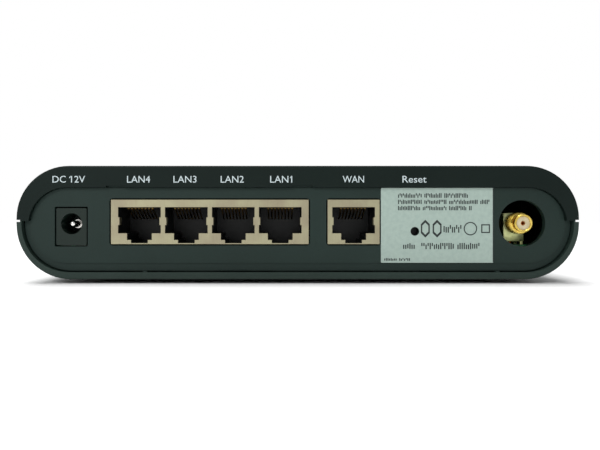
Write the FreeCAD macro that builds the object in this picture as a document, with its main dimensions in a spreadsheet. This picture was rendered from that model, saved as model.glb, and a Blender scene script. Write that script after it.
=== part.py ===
"""A desktop wireless router with four LAN ports, one WAN port and an antenna jack.

Frame: +Z up, the port panel faces -Y and the light panel faces +Y. The origin is the
centre of the footprint, on the surface that the rubber feet stand on. Millimetres.
"""
import FreeCAD, Part
import math
import os
import re
import Sketcher

doc = FreeCAD.newDocument("wireless_router")
sheet = doc.addObject("Spreadsheet::Sheet", "dims")
cell_names = []
pieces = []


# ---------------------------------------------------------------- sheet and formulas

def sizes(group, **values):
    """Add cells called group_key to the sheet."""
    for key, number in values.items():
        name = f"{group}_{key}"
        cell_names.append(name)
        row = len(cell_names)
        sheet.set(f"A{row}", name)
        sheet.set(f"B{row}", str(number))
        sheet.setAlias(f"B{row}", name)
    sheet.recompute()


def in_sheet(formula):
    """Point every cell name of a formula at the sheet."""
    def point(word):
        return f"dims.{word[0]}" if word[0] in cell_names else word[0]
    return re.sub(r"[a-z_][a-z_0-9]*", point, str(formula))


def worth(formula):
    """The value that a formula has now."""
    return float(sheet.evalExpression(in_sheet(formula)))


def bind(thing, prop, formula):
    """Drive a property of an object with a formula."""
    thing.setExpression(prop, in_sheet(formula))


# ---------------------------------------------------------------- sketches

def dimension(drawing, kind, *places, formula):
    """Add a driving dimension whose value is a formula."""
    index = drawing.addConstraint(Sketcher.Constraint(kind, *places, worth(formula)))
    name = f"size{index}"
    drawing.renameConstraint(index, name)
    bind(drawing, f"Constraints.{name}", formula)


def polygon(drawing, corners):
    """A closed outline of straight lines through the corners, each given by two formulas."""
    points = [FreeCAD.Vector(worth(across), worth(up), 0) for across, up in corners]
    first = drawing.GeometryCount
    count = len(points)
    for index, point in enumerate(points):
        drawing.addGeometry(Part.LineSegment(point, points[(index + 1) % count]), False)
    for index in range(count):
        following = first + (index + 1) % count
        drawing.addConstraint(Sketcher.Constraint("Coincident", first + index, 2, following, 1))
    for index, (across, up) in enumerate(corners):
        dimension(drawing, "DistanceX", -1, 1, first + index, 1, formula=across)
        dimension(drawing, "DistanceY", -1, 1, first + index, 1, formula=up)


def rectangle(drawing, wide, tall, middle=("0", "0")):
    """A rectangle about a middle point."""
    left, right = f"{middle[0]} - ({wide}) / 2", f"{middle[0]} + ({wide}) / 2"
    low, high = f"{middle[1]} - ({tall}) / 2", f"{middle[1]} + ({tall}) / 2"
    polygon(drawing, [(left, low), (right, low), (right, high), (left, high)])


def circles(drawing, radius, middles=(("0", "0"),)):
    """Equal circles about the middle points."""
    for across, up in middles:
        centre = FreeCAD.Vector(worth(across), worth(up), 0)
        circle = Part.Circle(centre, FreeCAD.Vector(0, 0, 1), worth(radius))
        index = drawing.addGeometry(circle, False)
        dimension(drawing, "Radius", index, formula=radius)
        dimension(drawing, "DistanceX", -1, 1, index, 3, formula=across)
        dimension(drawing, "DistanceY", -1, 1, index, 3, formula=up)


def rounded(drawing, half, low, high, corner_low, corner_high):
    """An outline that is symmetric left to right, with round lower and upper corners."""
    side, floor, roof = worth(half), worth(low), worth(high)
    bend_low, bend_high = worth(corner_low), worth(corner_high)
    quarter = math.pi / 2

    def line(x_from, y_from, x_to, y_to):
        return Part.LineSegment(FreeCAD.Vector(x_from, y_from, 0), FreeCAD.Vector(x_to, y_to, 0))

    def arc(x, y, radius, quadrant):
        circle = Part.Circle(FreeCAD.Vector(x, y, 0), FreeCAD.Vector(0, 0, 1), radius)
        return Part.ArcOfCircle(circle, quadrant * quarter, (quadrant + 1) * quarter)

    first = drawing.GeometryCount
    drawing.addGeometry([
        line(-side + bend_low, floor, side - bend_low, floor),
        arc(side - bend_low, floor + bend_low, bend_low, 3),
        line(side, floor + bend_low, side, roof - bend_high),
        arc(side - bend_high, roof - bend_high, bend_high, 0),
        line(side - bend_high, roof, -side + bend_high, roof),
        arc(-side + bend_high, roof - bend_high, bend_high, 1),
        line(-side, roof - bend_high, -side, floor + bend_low),
        arc(-side + bend_low, floor + bend_low, bend_low, 2)], False)
    for index in range(8):
        following = first + (index + 1) % 8
        drawing.addConstraint(Sketcher.Constraint("Tangent", first + index, 2, following, 1))
    for index in (0, 4):
        drawing.addConstraint(Sketcher.Constraint("Horizontal", first + index))
    for index in (2, 6):
        drawing.addConstraint(Sketcher.Constraint("Vertical", first + index))
    drawing.addConstraint(Sketcher.Constraint("Equal", first + 1, first + 7))
    drawing.addConstraint(Sketcher.Constraint("Equal", first + 3, first + 5))
    dimension(drawing, "Radius", first + 1, formula=corner_low)
    dimension(drawing, "Radius", first + 3, formula=corner_high)
    dimension(drawing, "DistanceX", -1, 1, first + 2, 1, formula=half)
    dimension(drawing, "DistanceX", first + 6, 1, -1, 1, formula=half)
    dimension(drawing, "DistanceY", -1, 1, first, 1, formula=low)
    dimension(drawing, "DistanceY", -1, 1, first + 4, 1, formula=high)


def softened(drawing, wide, tall, corner):
    """A rectangle about the sketch's origin with four equal round corners."""
    rounded(drawing, f"({wide}) / 2", f"-({tall}) / 2", f"({tall}) / 2", corner, corner)


# ---------------------------------------------------------------- one body per sub-part

class Piece:
    """A sub-part: a body whose sketches lie on its own origin planes."""

    def __init__(self, label, place=("0", "0", "0")):
        self.body = doc.addObject("PartDesign::Body", label)
        self.body.Label = label
        for axis, formula in zip("xyz", place):
            bind(self.body, f"Placement.Base.{axis}", formula)
        pieces.append(self.body)

    def origin(self, role):
        return next(item for item in self.body.Origin.OriginFeatures if item.Role == role)

    def sketch(self, plane, at=("0", "0", "0")):
        """A sketch on the XY, XZ or YZ plane, moved to a point of the body's frame."""
        drawing = self.body.newObject("Sketcher::SketchObject", "sketch")
        drawing.AttachmentSupport = (self.origin(f"{plane}_Plane"), [""])
        drawing.MapMode = "FlatFace"
        x, y, z = at
        shift = {"XY": (x, y, z), "XZ": (x, z, f"-({y})"), "YZ": (y, z, x)}[plane]
        for axis, formula in zip("xyz", shift):
            bind(drawing, f"AttachmentOffset.Base.{axis}", formula)
        return drawing

    def feature(self, kind, drawing, length, along, both):
        """Pad or Pocket. The planes' normals are +Z, -Y and +X."""
        result = self.body.newObject(f"PartDesign::{kind}", kind.lower())
        result.Profile = drawing
        result.SideType = "Symmetric" if both else "One side"
        result.Reversed = not along
        bind(result, "Length", length)
        drawing.Visibility = False
        return result

    def pad(self, drawing, length, along=True, both=False):
        """Add material along the plane's normal, or against it."""
        result = self.feature("Pad", drawing, length, along, both)
        doc.recompute()
        return result

    def pocket(self, drawing, length, along=False, both=False):
        """Remove material against the plane's normal, or along it."""
        before = self.body.Shape.Volume
        result = self.feature("Pocket", drawing, length, not along, both)
        doc.recompute()
        if self.body.Shape.Volume > before - 1e-6:
            raise ValueError(f"{self.body.Label}: a pocket cuts nothing")
        return result

    def repeat(self, features, axis, count, pitch):
        """A straight row of equal features along an axis of the body."""
        row = self.body.newObject("PartDesign::LinearPattern", "row")
        row.Originals = features
        row.Direction = (self.origin(f"{axis}_Axis"), [""])
        row.Mode = "Spacing"
        bind(row, "Offset", pitch)
        bind(row, "Occurrences", count)
        self.body.Tip = row
        doc.recompute()
        return row

    def repeat_grid(self, features, rows):
        """Equal features in rows of rows, each given by an axis, a count and a pitch."""
        grid = self.body.newObject("PartDesign::MultiTransform", "grid")
        grid.Originals = features
        steps = []
        for axis, count, pitch in rows:
            row = self.body.newObject("PartDesign::LinearPattern", "row")
            row.Direction = (self.origin(f"{axis}_Axis"), [""])
            row.Mode = "Spacing"
            bind(row, "Offset", pitch)
            bind(row, "Occurrences", count)
            steps.append(row)
        grid.Transformations = steps
        self.body.Tip = grid
        doc.recompute()

    def soften(self, radius, wanted, kind="Fillet"):
        """Round or chamfer the tip's edges that the test picks, in the body's own frame."""
        base = self.body.Tip
        names = [f"Edge{number}" for number, edge in enumerate(base.Shape.Edges, 1)
                 if wanted(edge)]
        if not names:
            raise ValueError(f"{self.body.Label}: no edge to soften")
        result = self.body.newObject(f"PartDesign::{kind}", kind.lower())
        result.Base = (base, names)
        bind(result, "Radius" if kind == "Fillet" else "Size", radius)
        self.body.Tip = result
        doc.recompute()


def block(label, place, wide, deep, tall, corner=None):
    """A piece that is one upright block standing on its place point."""
    piece = Piece(label, place)
    drawing = piece.sketch("XY")
    if corner is None:
        rectangle(drawing, wide, deep)
    else:
        softened(drawing, wide, deep, corner)
    piece.pad(drawing, tall)
    return piece


# ---------------------------------------------------------------- driving dimensions

sizes("case", width=166.4, depth=115, foot=1.2, height=34.8, corner_low=16.2,
      corner_high=15.5, side=1.6, floor=2.1, roof=2.0, seam=18.5, slit_tall=0.6,
      slit_deep=1.2, ring=1.4, rim=0.5)
sizes("face", half=79.6, low=5.8, high=28.4, corner=11.2, recess=1.2, step=0.4, line=0.15)
sizes("panel", gap=0.4, thick=1.6, window=0.42)
sizes("board", top=11.3, thick=1.6, width=154, rear=-53.8, front=46, corner=3)
sizes("post", x=68, rear=-34, front=38, radius=3.5, pilot=1.2, depth=5.5)
sizes("tie", x_rear=50, rear=-28, x_front=60, front=49.6, radius=3.2, pilot=1.5, low=6.4,
      depth=13, seat=4.6, seat_radius=3.3, hole=1.7, collar=4.5, collar_top=6.2)
sizes("foot", x=57, y=37, radius=5, tall=2, recess=0.8, slack=0.2)
sizes("jack", face=-56.1)
sizes("port", pitch=13.97, wide=12.7, top=11.3, shelf=3.5, key_wide=7.4, key_low=1.53,
      slot_wide=5.0, slot_low=0.56, depth=14, wires=8, wire_pitch=1.02, wire=0.45)
sizes("can", low=0.3, top=13.5, depth=21.3, sheet=0.3, bump=0.38, bump_tall=2.3,
      bump_middle=7.1, bump_deep=2.6, tab=1.6, tab_drop=2.7, tab_back=11)
sizes("lan", x=-26.14, width=58.8, ports=4)
sizes("wan", x=16.65, width=15.45, ports=1)
sizes("dc", x=-67.3, axis=6.35, bore=3.15, pin=1.0, width=9, tall=11, collar=3.4,
      length=14.2, hole_depth=9.6, pin_tip=0.75, pin_root=9.3, shank=0.8, shell=4.4)
sizes("reset", x=34.8, axis=4.1, face=-50.5, hole=1.3, stem=1.75, slack=0.05,
      stick=2.7, inside=1.5, well=2.4)
sizes("antenna", x=66.7, axis=6.5, tip=-57.5, hole=6.9, thread=3.175, nose=2.65, bore=2.1)
sizes("vent", wide=2, long=22, pitch=5, count=15, roof_y=-18, floor_y=30, floor_count=13)
sizes("key", x=40, y=5, entry=3.75, slot=2, run=7)
sizes("lamp", count=8, pitch=7, height=17.1, window_long=66, window_tall=4)
sizes("notch", tall=0.45, left_x=-53.95, left_long=5.3, right_x=1.35, right_long=6.1)
sizes("rib", wide=14, thick=1.2, tall=5, x=30, slack=0.2)
sizes("lug", wide=1.2, tall=0.3, deep=1.0, left_x=-45.3, right_x=59.2)
sizes("window", corner=1.0, dc_corner=0.3)
sizes("strip", gap=0.2, flange=2.2, flange_thick=1)
sizes("pipe", rear=43, front=53, low=13.4, wide=2.6, tall=3.0, leg=3.0, bar=1.4, bar_x=32.5)
sizes("case_screw", head=2.8, head_tall=2.0, shank=1.45, reach=12, recess=1.1)
sizes("board_screw", head=2.5, head_tall=1.7, shank=1.15, reach=7, recess=0.9)
sizes("label", x=41.42, z=17.17, wide=33.4, tall=22.2, thick=0.15)
sizes("leaf", thick=0.3, tall=2.4, rear=12.4, bend=11.4, dimple=5.6, front=2.9, anchor_x=4.2,
      dimple_x=2.55, front_x=3.1, slot=3.2)
sizes("terminal", thick=0.4, wide=2.0, side=4.85, back=12.2, drop=2.9, high=7.6)
sizes("switch", wide=6.2, deep=3.6, tall=7.2, cover=0.25, slack=0.05)
sizes("dome", radius=1.5, rise=0.4)
sizes("gold", nose=0.8, thread=7.0, neck=2.6, block=7.6, block_deep=6.35, wide=6.1, low=0.9,
      high=9.7, leg=1.0)
sizes("core", front=0.5, back=9.4, slack=0.05, pin=0.635, pin_front=0.7, well=2.0, tail=0.7)
sizes("fence", x=54, y=-6, wide=30, deep=24, tall=2.2, sheet=0.25, lid=2.6, slack=0.05)
sizes("lead", front=1.4, back=19.75, thick=0.3, hook=11.25, top=12.5, drop=2.7)
sizes("comb", root=1.35, high=11.1, low=7.72, tip=9.5, thick=0.3)
sizes("leg", half=2.54, middle=10.775, drop=2.8)
sizes("cross", long=2.8, wide=0.7)
sizes("insert", gap=0.05, roof=11.7, depth=18.6)
sizes("chip", foot=0.9, foot_wide=0.35, pitch=1.0, column=4, row=3)
sizes("processor_chip", x=6, y=4, wide=17, deep=17, tall=1.6)
sizes("switch_chip", x=-26, y=-2, wide=14, deep=14, tall=1.6)
sizes("memory_chip", x=32, y=20, wide=20, deep=10.2, tall=1.1)
sizes("flash_chip", x=24, y=-12, wide=5.3, deep=5.2, tall=1.8)
sizes("radio_chip", x=54, y=-6, wide=9, deep=9, tall=1.0)
sizes("lan_magnetics_left", x=-37, y=-24, wide=15, deep=8, tall=5.6)
sizes("lan_magnetics_right", x=-14, y=-24, wide=15, deep=8, tall=5.6)
sizes("wan_magnetics", x=14, y=-24, wide=12, deep=8, tall=5.6)
sizes("power_regulator", x=-62, y=22, wide=6.5, deep=3.5, tall=1.7)
sizes("electrolytic_capacitors", radius=4, tall=10.5)
sizes("power_inductors", wide=7.5, deep=7.5, tall=4)
sizes("crystals", wide=11, deep=4.6, tall=3.4)
sizes("ceramic_capacitors", x=-22, y=24, wide=1.6, deep=0.8, tall=0.8)
sizes("chip_resistors", x=46, y=12, wide=2, deep=1.2, tall=0.5)
sizes("service_header", wide=2.2, deep=2.4, tall=8)
sizes("status_leds", wide=1.6, deep=0.9, tall=0.8)


def mirrored(x, y_values):
    """Places at plus and minus x for each y."""
    return [(sign + x, y) for y in y_values for sign in ("-", "")]


POSTS = mirrored("post_x", ("post_rear", "post_front"))
TIES = mirrored("tie_x_rear", ("tie_rear",)) + mirrored("tie_x_front", ("tie_front",))
FEET = mirrored("foot_x", ("-foot_y", "foot_y"))
HALF = "case_width / 2"
END = "case_depth / 2"


# ---------------------------------------------------------------- casing

def case_outline(drawing):
    """The outside of the casing, seen from the port side."""
    rounded(drawing, HALF, "case_foot", "case_height", "case_corner_low", "case_corner_high")


def cavity_outline(drawing, gap="0"):
    """The inside of the casing, or a plate that fits it with a gap all round."""
    rounded(drawing, f"{HALF} - case_side - {gap}", f"case_foot + case_floor + {gap}",
            f"case_height - case_roof - {gap}", f"case_corner_low - case_floor - {gap}",
            f"case_corner_high - case_roof - {gap}")


def face_outline(drawing, gap="0"):
    """The long round-ended face that a panel shows inside the casing's rim."""
    rounded(drawing, f"face_half - {gap}", f"face_low + {gap}", f"face_high - {gap}",
            f"face_corner - {gap}", f"face_corner - {gap}")


def half_shell(label, upper):
    """The casing outline as a solid bar, cut off at the seam, with soft end rims."""
    shell = Piece(label)
    drawing = shell.sketch("XZ")
    case_outline(drawing)
    shell.pad(drawing, "case_depth", both=True)
    drawing = shell.sketch("XZ")
    middle = "case_seam / 2 - 1" if upper else "case_seam + case_height / 2"
    tall = "case_seam + 2" if upper else "case_height"
    rectangle(drawing, "case_width + 2", tall, ("0", middle))
    shell.pocket(drawing, "case_depth + 2", both=True)
    end, seam = worth(END), worth("case_seam")

    def on_rim(edge):
        box, height = edge.BoundBox, edge.CenterOfMass.z
        flat = box.YLength < 1e-3 and abs(abs(box.YMin) - end) < 1e-3
        return flat and abs(height - seam) > 0.1
    shell.soften("case_rim", on_rim)
    return shell


def cut_slit(shell, middle):
    """The thin groove that runs along each side at the seam."""
    for sign in ("-", ""):
        drawing = shell.sketch("XZ")
        across = f"{sign}({HALF} - case_slit_deep / 2 + 1)"
        rectangle(drawing, "case_slit_deep + 2", "case_slit_tall / 2", (across, middle))
        shell.pocket(drawing, "case_depth + 2", both=True)


def cut_slots(shell, y, z, count, depth):
    """A row of cooling slots through a flat wall, whose outer face is at z."""
    drawing = shell.sketch("XY", (f"-({count} - 1) * vent_pitch / 2", y, z))
    softened(drawing, "vent_wide", "vent_long", "vent_wide * 0.49")
    slot = shell.pocket(drawing, depth, both=True)
    shell.repeat([slot], "X", count, "vent_pitch")


def top_cover():
    """The upper shell. Its end walls stand proud of the panels and frame their tops."""
    shell = half_shell("top_cover", upper=True)
    drawing = shell.sketch("XZ")
    cavity_outline(drawing)
    shell.pocket(drawing, "case_depth - 2 * case_ring", both=True)
    drawing = shell.sketch("XZ")
    face_outline(drawing)
    shell.pocket(drawing, "case_depth + 2", both=True)
    cut_slit(shell, "case_seam + case_slit_tall / 4 - 0.01")
    for side in ("left", "right"):
        drawing = shell.sketch("XZ", (f"notch_{side}_x", f"-{END}", "face_high"))
        rectangle(drawing, f"notch_{side}_long", "2 * notch_tall")
        shell.pocket(drawing, "case_ring + 0.5")
    cut_slots(shell, "vent_roof_y", "case_height", "vent_count", "2 * case_roof + 1")
    drawing = shell.sketch("XY", ("0", "0", "tie_low"))
    circles(drawing, "tie_radius", TIES)
    shell.pad(drawing, "case_height - case_roof / 2 - tie_low")
    drawing = shell.sketch("XY", ("0", "0", "tie_low"))
    circles(drawing, "tie_pilot", TIES)
    shell.pocket(drawing, "tie_depth", along=True)


def bottom_case():
    """The lower shell: a trough that carries the board, the panels, feet and screws."""
    shell = half_shell("bottom_case", upper=False)
    drawing = shell.sketch("XZ")
    cavity_outline(drawing)
    shell.pocket(drawing, "case_depth + 2", both=True)
    cut_slit(shell, "case_seam - case_slit_tall / 4 + 0.01")
    floor_top = "(case_foot + case_floor)"
    drawing = shell.sketch("XY", ("0", "0", f"{floor_top} - 0.3"))
    circles(drawing, "post_radius", POSTS)
    shell.pad(drawing, f"board_top - board_thick - {floor_top} + 0.3")
    drawing = shell.sketch("XY", ("0", "0", "board_top - board_thick"))
    circles(drawing, "post_pilot", POSTS)
    shell.pocket(drawing, "post_depth")
    drawing = shell.sketch("XY", ("0", "0", f"{floor_top} - 0.3"))
    circles(drawing, "tie_collar", TIES)
    shell.pad(drawing, f"tie_collar_top - {floor_top} + 0.3")
    drawing = shell.sketch("XY", ("0", "0", "tie_seat"))
    circles(drawing, "tie_seat_radius", TIES)
    shell.pocket(drawing, "tie_seat")
    drawing = shell.sketch("XY", ("0", "0", "tie_collar_top"))
    circles(drawing, "tie_hole", TIES)
    shell.pocket(drawing, "tie_collar_top")
    drawing = shell.sketch("XY", ("0", "0", "case_foot + foot_recess"))
    circles(drawing, "foot_radius + foot_slack", FEET)
    shell.pocket(drawing, "case_foot + foot_recess")
    panel_stops(shell, floor_top)
    cut_keyholes(shell)
    cut_slots(shell, "vent_floor_y", "case_foot", "vent_floor_count", "2 * case_floor + 1")


def panel_stops(shell, floor_top):
    """Ribs behind each panel's lower edge, and small lugs in front of the port panel's."""
    back = f"({END} - face_recess - face_step - panel_thick)"
    for end in ("-", ""):
        for x in ("-rib_x", "0", "rib_x"):
            y = f"{end}({back} - rib_slack - rib_thick / 2)"
            drawing = shell.sketch("XY", (x, y, f"{floor_top} - 0.3"))
            rectangle(drawing, "rib_wide", "rib_thick")
            shell.pad(drawing, "rib_tall + 0.3")
    for x in ("lug_left_x", "lug_right_x"):
        y = f"-({END} - case_rim - lug_deep / 2)"
        drawing = shell.sketch("XY", (x, y, f"{floor_top} - 0.3"))
        rectangle(drawing, "lug_wide", "lug_deep")
        shell.pad(drawing, "lug_tall + 0.3")


def cut_keyholes(shell):
    """Two keyholes in the floor, for hanging the router on two wall screws."""
    middles = [("-key_x", "key_y"), ("key_x", "key_y")]
    drawing = shell.sketch("XY", ("0", "0", "case_foot"))
    circles(drawing, "key_entry", middles)
    shell.pocket(drawing, "2 * case_floor + 1", both=True)
    for x, y in middles:
        drawing = shell.sketch("XY", (x, f"{y} + key_run / 2", "case_foot"))
        softened(drawing, "2 * key_slot", "key_run + 2 * key_slot", "key_slot * 0.98")
        shell.pocket(drawing, "2 * case_floor + 1", both=True)


def end_panel(label, rear):
    """A plate held inside the casing's end, with a raised face inside the rim."""
    panel = Piece(label)
    sign = "-" if rear else ""
    back = f"{sign}({END} - face_recess - face_step - panel_thick)"
    drawing = panel.sketch("XZ", ("0", back, "0"))
    cavity_outline(drawing, gap="panel_gap")
    panel.pad(drawing, "panel_thick", along=rear)
    drawing = panel.sketch("XZ", ("0", f"{sign}({END} - face_recess - face_step)", "0"))
    face_outline(drawing, gap="face_line")
    panel.pad(drawing, "face_step", along=rear)
    return panel


def rear_panel():
    """The port panel, with a window for each jack."""
    panel = end_panel("rear_panel", rear=True)
    front, depth = f"-({END} - face_recess)", "face_step + panel_thick + 0.5"
    jack_middle = "board_top + (can_low + can_top) / 2"
    for name in ("lan", "wan"):
        drawing = panel.sketch("XZ", (f"{name}_x", front, jack_middle))
        softened(drawing, f"{name}_width + 2 * panel_window",
                 "can_top - can_low + 2 * panel_window", "window_corner")
        panel.pocket(drawing, depth)
    drawing = panel.sketch("XZ", ("dc_x", front, "board_top + dc_tall / 2"))
    softened(drawing, "dc_width + 2 * panel_window", "dc_tall + 2 * panel_window",
             "window_dc_corner")
    panel.pocket(drawing, depth)
    for name in ("reset", "antenna"):
        drawing = panel.sketch("XZ", (f"{name}_x", front, f"board_top + {name}_axis"))
        circles(drawing, f"{name}_hole")
        panel.pocket(drawing, depth)


def front_panel():
    """The light panel, with one long window."""
    panel = end_panel("front_panel", rear=False)
    drawing = panel.sketch("XZ", ("0", END, "lamp_height"))
    softened(drawing, "lamp_window_long", "lamp_window_tall", "lamp_window_tall * 0.49")
    panel.pocket(drawing, "face_recess + face_step + panel_thick + 0.5", along=True)


def led_window():
    """A smoked strip that shows the lights, with a flange behind the front panel."""
    back = f"{END} - face_recess - face_step - panel_thick - strip_gap / 2"
    strip = Piece("led_window", ("0", back, "lamp_height"))
    drawing = strip.sketch("XZ")
    softened(drawing, "lamp_window_long - 2 * strip_gap", "lamp_window_tall - 2 * strip_gap",
             "(lamp_window_tall - 2 * strip_gap) * 0.49")
    strip.pad(drawing, "face_step + panel_thick", along=False)
    drawing = strip.sketch("XZ", ("0", "-strip_flange_thick", "0"))
    softened(drawing, "lamp_window_long + 2 * strip_flange",
             "lamp_window_tall + 2 * strip_flange", "strip_flange")
    strip.pad(drawing, "strip_flange_thick", along=False)


def light_guide():
    """Clear pipes that bend each light from the board towards the front window."""
    guide = Piece("light_guide")
    first = "-(lamp_count - 1) * lamp_pitch / 2"
    drawing = guide.sketch("YZ", (first, "0", "0"))
    low, high = "lamp_height - pipe_tall / 2", "lamp_height + pipe_tall / 2"
    polygon(drawing, [
        ("pipe_rear", "pipe_low"), ("pipe_rear + pipe_leg", "pipe_low"),
        ("pipe_rear + pipe_leg", low), ("pipe_front - 0.5", low), ("pipe_front - 0.5", high),
        ("pipe_rear + pipe_leg / 2", high), ("pipe_rear", f"{high} - pipe_leg / 2")])
    pipe = guide.pad(drawing, "pipe_wide", both=True)
    guide.repeat([pipe], "X", "lamp_count", "lamp_pitch")
    middle = "pipe_rear + pipe_leg * 0.75"
    drawing = guide.sketch("XY", ("0", middle, f"{high} - 0.1"))
    rectangle(drawing, "2 * pipe_bar_x", "pipe_leg / 2")
    guide.pad(drawing, "pipe_bar")
    drawing = guide.sketch("XY", ("0", middle, "board_top"))
    for sign in ("-", ""):
        rectangle(drawing, "pipe_leg", "pipe_leg / 2", (f"{sign}(pipe_bar_x - pipe_leg / 2)", "0"))
    guide.pad(drawing, f"{high} - board_top + 0.5")


def rubber_feet():
    """Four round pads, glued into shallow recesses of the floor."""
    feet = Piece("rubber_feet")
    drawing = feet.sketch("XY")
    circles(drawing, "foot_radius", FEET)
    feet.pad(drawing, "foot_tall")
    feet.soften("0.4", lambda edge: edge.BoundBox.ZMax < 0.01)


def cross_recess(piece, middles, z, depth, along):
    """A cross-shaped driver recess in each screw head."""
    for wide, tall in (("cross_long", "cross_wide"), ("cross_wide", "cross_long")):
        drawing = piece.sketch("XY", ("0", "0", z))
        for middle in middles:
            rectangle(drawing, wide, tall, middle)
        piece.pocket(drawing, depth, along=along)


def case_screws():
    """Four screws that come up through the floor and pull the top cover down."""
    screws = Piece("case_screws")
    drawing = screws.sketch("XY", ("0", "0", "tie_seat - case_screw_head_tall"))
    circles(drawing, "case_screw_head", TIES)
    screws.pad(drawing, "case_screw_head_tall")
    drawing = screws.sketch("XY", ("0", "0", "tie_seat - 0.5"))
    circles(drawing, "case_screw_shank", TIES)
    screws.pad(drawing, "case_screw_reach")
    cross_recess(screws, TIES, "tie_seat - case_screw_head_tall", "case_screw_recess", along=True)


def board_screws():
    """Four screws that hold the board down on its posts."""
    screws = Piece("board_screws")
    drawing = screws.sketch("XY", ("0", "0", "board_top"))
    circles(drawing, "board_screw_head", POSTS)
    screws.pad(drawing, "board_screw_head_tall")
    drawing = screws.sketch("XY", ("0", "0", "board_top + 0.5"))
    circles(drawing, "board_screw_shank", POSTS)
    screws.pad(drawing, "board_screw_reach", along=False)
    cross_recess(screws, POSTS, "board_top + board_screw_head_tall", "board_screw_recess",
                 along=False)


def rating_label():
    """A thin printed label on the port panel, punched over the reset hole."""
    label = Piece("rating_label", ("label_x", f"-({END} - face_recess)", "label_z"))
    drawing = label.sketch("XZ")
    softened(drawing, "label_wide", "label_tall", "0.3")
    label.pad(drawing, "label_thick")
    drawing = label.sketch("XZ", ("reset_x - label_x", "0", "board_top + reset_axis - label_z"))
    circles(drawing, "reset_hole")
    label.pocket(drawing, "1", both=True)


# ---------------------------------------------------------------- main board

def wire_places(name):
    """Where the contact wires of a jack come through the board, left to right."""
    ports, wires = int(worth(f"{name}_ports")), int(worth("port_wires"))
    for port in range(ports):
        for wire in range(wires):
            yield (f"{name}_x + ({port} - ({name}_ports - 1) / 2) * port_pitch"
                   f" + ({wire} - (port_wires - 1) / 2) * port_wire_pitch")


def main_board():
    """The circuit board, with holes for screws, the cover's posts and the soldered legs."""
    middle, deep = "(board_rear + board_front) / 2", "board_front - board_rear"
    board = block("main_board", ("0", middle, "board_top - board_thick"), "board_width",
                  deep, "board_thick", "board_corner")

    def drill(radius, middles):
        drawing = board.sketch("XY", ("0", f"-({middle})", "board_thick"))
        circles(drawing, radius, middles)
        board.pocket(drawing, "board_thick")

    drill("board_screw_shank + 0.3", POSTS)
    drill("tie_radius + 0.5", mirrored("tie_x_rear", ("tie_rear",)))
    for name in ("lan", "wan"):
        drill("0.45", [(x, "jack_face + lead_back") for x in wire_places(name)])
        tab = f"({name}_width / 2 - can_sheet / 2)"
        drill("1.0", [(f"{name}_x - {tab}", "jack_face + can_tab_back"),
                      (f"{name}_x + {tab}", "jack_face + can_tab_back")])
    drill("1.6", [("dc_x", "jack_face + dc_length + terminal_thick / 2"),
                  ("dc_x - terminal_side", "jack_face + terminal_back"),
                  ("dc_x + terminal_side", "jack_face + terminal_back")])
    legs = [(f"antenna_x {across} leg_half", f"antenna_tip + leg_middle {along} leg_half")
            for across in "+-" for along in "+-"]
    drill("0.9", legs + [("antenna_x", "antenna_tip + leg_middle")])


# ---------------------------------------------------------------- power jack

def dc_jack():
    """The round power inlet: moulded housing, centre pin, side spring and three legs."""
    place = ("dc_x", "jack_face", "board_top")
    housing = Piece("dc_jack_housing", place)
    drawing = housing.sketch("XZ", ("0", "0", "dc_tall / 2"))
    softened(drawing, "dc_width", "dc_tall", "0.4")
    housing.pad(drawing, "dc_collar", along=False)
    drawing = housing.sketch("XZ", ("0", "dc_collar", "dc_axis / 2"))
    rectangle(drawing, "dc_width", "dc_axis")
    housing.pad(drawing, "dc_length - dc_collar", along=False)
    drawing = housing.sketch("XZ", ("0", "dc_collar", "dc_axis"))
    circles(drawing, "dc_shell")
    housing.pad(drawing, "dc_length - dc_collar", along=False)
    drawing = housing.sketch("XZ", ("0", "0", "dc_axis"))
    circles(drawing, "dc_bore")
    housing.pocket(drawing, "dc_hole_depth")
    drawing = housing.sketch("XZ", ("0", "0", "dc_axis"))
    circles(drawing, "dc_shank + 0.03")
    housing.pocket(drawing, "dc_length + 1")
    drawing = housing.sketch("XY", ("0", "0", "dc_axis"))
    polygon(drawing, [("2.2", "leaf_front - 0.6"), ("6", "leaf_front - 0.6"),
                      ("6", "leaf_rear + 0.4"), ("2.2", "leaf_rear + 0.4")])
    housing.pocket(drawing, "leaf_slot", both=True)

    pin = Piece("dc_jack_pin", place)
    drawing = pin.sketch("XZ", ("0", "dc_pin_tip", "dc_axis"))
    circles(drawing, "dc_pin")
    pin.pad(drawing, "dc_pin_root - dc_pin_tip", along=False)
    drawing = pin.sketch("XZ", ("0", "dc_pin_root", "dc_axis"))
    circles(drawing, "dc_shank")
    pin.pad(drawing, "dc_length - dc_pin_root", along=False)
    tip = worth("dc_pin_tip")
    pin.soften("0.4", lambda edge: edge.BoundBox.YMax < tip + 0.01)

    leaf = Piece("dc_jack_spring", place)
    drawing = leaf.sketch("XY", ("0", "0", "dc_axis"))
    inner = [("leaf_anchor_x", "leaf_rear"), ("leaf_anchor_x", "leaf_bend"),
             ("leaf_dimple_x", "leaf_dimple"), ("leaf_front_x", "leaf_front")]
    outer = [(f"{x} + leaf_thick", y) for x, y in reversed(inner)]
    polygon(drawing, inner + outer)
    leaf.pad(drawing, "leaf_tall", both=True)

    legs = Piece("dc_jack_terminals", place)
    drawing = legs.sketch("XY", ("0", "0", "-terminal_drop"))
    rectangle(drawing, "terminal_wide", "terminal_thick",
              ("0", "dc_length + terminal_thick / 2"))
    for sign in ("-", ""):
        rectangle(drawing, "terminal_thick", "terminal_wide",
                  (f"{sign}terminal_side", "terminal_back"))
    legs.pad(drawing, "terminal_drop + terminal_high")


# ---------------------------------------------------------------- network jacks

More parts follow.
